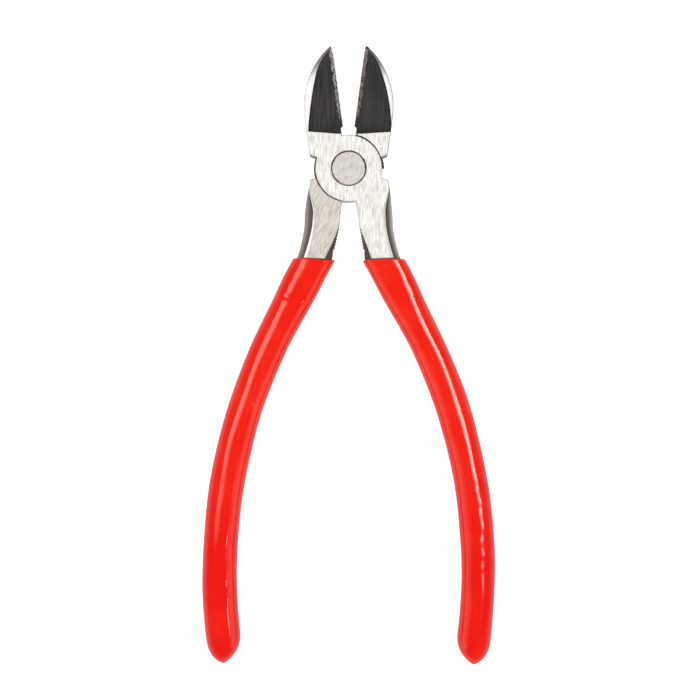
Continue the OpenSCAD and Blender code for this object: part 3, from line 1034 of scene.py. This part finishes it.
def rivet_mesh():
    """A turned rivet with two tapered flush heads whose rims are slightly broken."""
    rim = RIVET_HEAD - 0.03
    slope = (RIVET_HEAD - BORE) / HEAD_DEPTH
    top = THICK - 0.01
    profile = [(r, top) for r in (1.2, 2.4, 3.6, 4.4, 4.72)]
    profile += [(rim - 0.10, top), (rim - 0.03, top - 0.03), (rim, top - 0.11)]
    profile += [(rim - slope * 0.9, top - 1.0), (BORE, THICK - HEAD_DEPTH)]
    profile += [(r, THICK - z) for r, z in profile[::-1]]
    sides = 128
    theta = np.linspace(0, 2 * math.pi, sides, endpoint=False)
    rows = [np.stack([r * np.cos(theta), r * np.sin(theta), np.full(sides, z)], 1) for r, z in profile]
    verts = np.concatenate(rows + [np.array([[0, 0, top], [0, 0, THICK - top]])])
    faces = tube_faces(len(rows), sides)
    last = (len(rows) - 1) * sides
    a, b = len(verts) - 2, len(verts) - 1
    for j in range(sides):
        k = (j + 1) % sides
        faces.append((a, j, k))
        faces.append((b, last + k, last + j))
    return verts, faces


verts, faces = rivet_mesh()
rivet = add_mesh("flush_rivet", verts, faces, {"ring": np.hypot(verts[:, 0], verts[:, 1])})
rivet.data.materials.append(rivet_steel)
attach(rivet, "front_half")
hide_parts("pivot_rivet")


# ---------------------------------------------------------------- stage, lights and camera

def floor():
    s = Shader("pale_floor")
    s.bsdf.inputs["Base Color"].default_value = (0.45, 0.45, 0.45, 1)
    s.bsdf.inputs["Roughness"].default_value = 0.9
    s.bsdf.inputs["Specular IOR Level"].default_value = 0.1
    s.bsdf.inputs["Emission Color"].default_value = (1, 1, 1, 1)
    glow = s.node("ShaderNodeMapRange")
    s.link(s.node("ShaderNodeLightPath").outputs["Is Camera Ray"], glow.inputs["Value"])
    glow.inputs["To Min"].default_value = 0.35
    glow.inputs["To Max"].default_value = 0.95
    s.link(glow.outputs["Result"], s.bsdf.inputs["Emission Strength"])
    clear = s.node("ShaderNodeBsdfTransparent")
    back = s.node("ShaderNodeNewGeometry").outputs["Backfacing"]
    pick = s.node("ShaderNodeMixShader")
    s.link(back, pick.inputs[0])
    s.link(s.bsdf.outputs[0], pick.inputs[1])
    s.link(clear.outputs[0], pick.inputs[2])
    s.link(pick.outputs[0], s.tree.nodes["Material Output"].inputs["Surface"])
    half, level = 3000.0, -0.02
    verts = [(x * half, y * half, level) for x, y in ((-1, -1), (1, -1), (1, 1), (-1, 1))]
    obj = add_mesh("floor", verts, [(0, 1, 2, 3)])
    obj.data.materials.append(s.material)
    return obj


def softbox(name, position, target, width, length, radiance, pieces,
            low=(0.0, 0.2, 0.0), high=(0.8, 1.0, 0.0), foot=0.0, colour=(1.0, 1.0, 1.0)):
    """A lamp panel facing a target, its length along world Y, lighting only the given pieces.

    Each softbox is flagged off from the other pieces, and none of them shows in the picture. Its
    glow is full in the middle of its width and eases off towards its two long sides: low and high
    each give where that starts and ends, as shares of the width, and the share of glow at the side.
    The end towards the grip tips fades over the share of the length called foot.
    """
    light = bpy.data.lights.new(name, "AREA")
    light.shape = "RECTANGLE"
    light.size, light.size_y = width, length
    light.energy = math.pi * width * length * radiance
    s = Nodes(light)
    panel = s.axes(s.node("ShaderNodeNewGeometry").outputs["Parametric"])
    glow = s.math(
        "MULTIPLY",
        s.ramp(panel["X"], low[0], low[1], low[2], 1.0),
        s.ramp(panel["X"], high[0], high[1], 1.0, high[2]),
    )
    if foot > 0:
        glow = s.math("MULTIPLY", glow, s.ramp(panel["Y"], 0.0, foot))
    s.link(glow, s.tree.nodes["Emission"].inputs["Strength"])
    s.tree.nodes["Emission"].inputs["Color"].default_value = (*colour, 1.0)
    obj = bpy.data.objects.new(name, light)
    away = (Vector(position) - Vector(target)).normalized()
    across = Vector((0, 1, 0)).cross(away).normalized()
    turn = Matrix((across, away.cross(across), away)).transposed()
    obj.matrix_world = Matrix.Translation(Vector(position)) @ turn.to_4x4()
    obj.visible_camera = False
    group = bpy.data.collections.new(name + "_pieces")
    for piece in pieces:
        group.objects.link(bpy.data.objects[piece])
    obj.light_linking.receiver_collection = group
    bpy.context.scene.collection.objects.link(obj)
    return obj


middle = Vector((-0.00035, -0.052, 0.005))
METALS = ["front_lever_steel", "back_lever_steel", "flush_rivet"]
LEFT_GRIP = ["back_lever_grip_sleeve"]
RIGHT_GRIP = ["front_lever_grip_sleeve"]
EVEN = (-1.0, 0.0, 1.0)
EVEN_END = (1.0, 2.0, 1.0)
reflected = [
    softbox("left_streak", (-0.29, 0.005, 0.55), (-0.03, -0.05, 0), 0.38, 0.34, 4.3, LEFT_GRIP,
            (0.0, 0.15, 0.0), (0.55, 1.0, 0.0), 0.45, (1.0, 1.0, 0.84)),
    softbox("right_streak", (0.33, 0.012, 0.54), (0.03, -0.06, 0), 0.30, 0.335, 14.0, RIGHT_GRIP,
            (0.0, 0.55, 0.0), (0.85, 1.0, 0.0), 0.25, (1.0, 1.0, 0.93)),
    softbox("right_low_streak", (0.34, -0.155, 0.54), (0.03, -0.12, 0), 0.18, 0.045, 5.0, RIGHT_GRIP,
            foot=0.6),
    softbox("left_inner_edge", (0.36, -0.143, 0.45), (-0.03, -0.12, 0), 0.055, 0.058, 17.0, LEFT_GRIP,
            (0.0, 0.5, 0.0), (0.5, 1.0, 0.0), 0.25),
    softbox("left_inner_fill", (0.54, 0.0, 0.31), (-0.03, 0.0, 0.31), 0.62, 1.2, 1.15, LEFT_GRIP,
            (0.0, 0.5, 0.0), (0.5, 1.0, 0.6), colour=(1.0, 1.0, 0.72)),
    softbox("right_inner_fill", (-0.54, 0.0, 0.45), (0.03, 0.0, 0.45), 0.90, 1.2, 1.15, RIGHT_GRIP,
            EVEN, (0.0, 1.0, 0.1), colour=(1.0, 1.0, 0.72)),
]
for lamp in reflected:
    lamp.visible_diffuse = False
lamps = reflected + [
    softbox("metal_top", (0.0, -0.05, 1.5), middle, 1.5, 1.5, 1.06, METALS, EVEN, EVEN_END),
    softbox("metal_left", (-0.75, -0.05, 0.49), middle, 0.25, 0.9, 2.8, METALS),
]

# Brightness at the horizon and overhead, for soft light and for reflections.
SOFT_TENT = (0.58, 1.14)
SHINY_TENT = (0.30, 0.12)


def studio_world():
    """A white tent for soft light; shiny surfaces see its darker top, where the camera looks in."""
    world = bpy.data.worlds.new("studio")
    bpy.context.scene.world = world
    s = Nodes(world)
    height = s.axes(s.node("ShaderNodeTexCoord").outputs["Generated"])["Z"]
    ray = s.node("ShaderNodeLightPath").outputs
    soft, shiny = (s.ramp(height, 0.10, 0.75, side, top) for side, top in (SOFT_TENT, SHINY_TENT))
    strength = s.blend(ray["Is Glossy Ray"], soft, shiny)
    strength = s.blend(ray["Is Camera Ray"], strength, 1.0)
    background = s.tree.nodes["Background"]
    s.link(strength, background.inputs["Strength"])
    background.inputs["Color"].default_value = (1.0, 0.995, 0.985, 1)


studio_world()

FIELD = 0.2016
LENS = 150.0
SENSOR = 36.0
camera_data = bpy.data.cameras.new("camera")
camera_data.sensor_width = SENSOR
camera_data.lens = LENS
camera = bpy.data.objects.new("camera", camera_data)
bpy.context.scene.collection.objects.link(camera)
camera.location = (middle.x, middle.y, FIELD * LENS / SENSOR + THICK * MM)
camera.rotation_euler = (0, 0, 0)
camera_data.clip_start, camera_data.clip_end = 0.01, 20.0
bpy.context.scene.camera = camera
bpy.context.scene.view_settings.view_transform = "Standard"

floor()
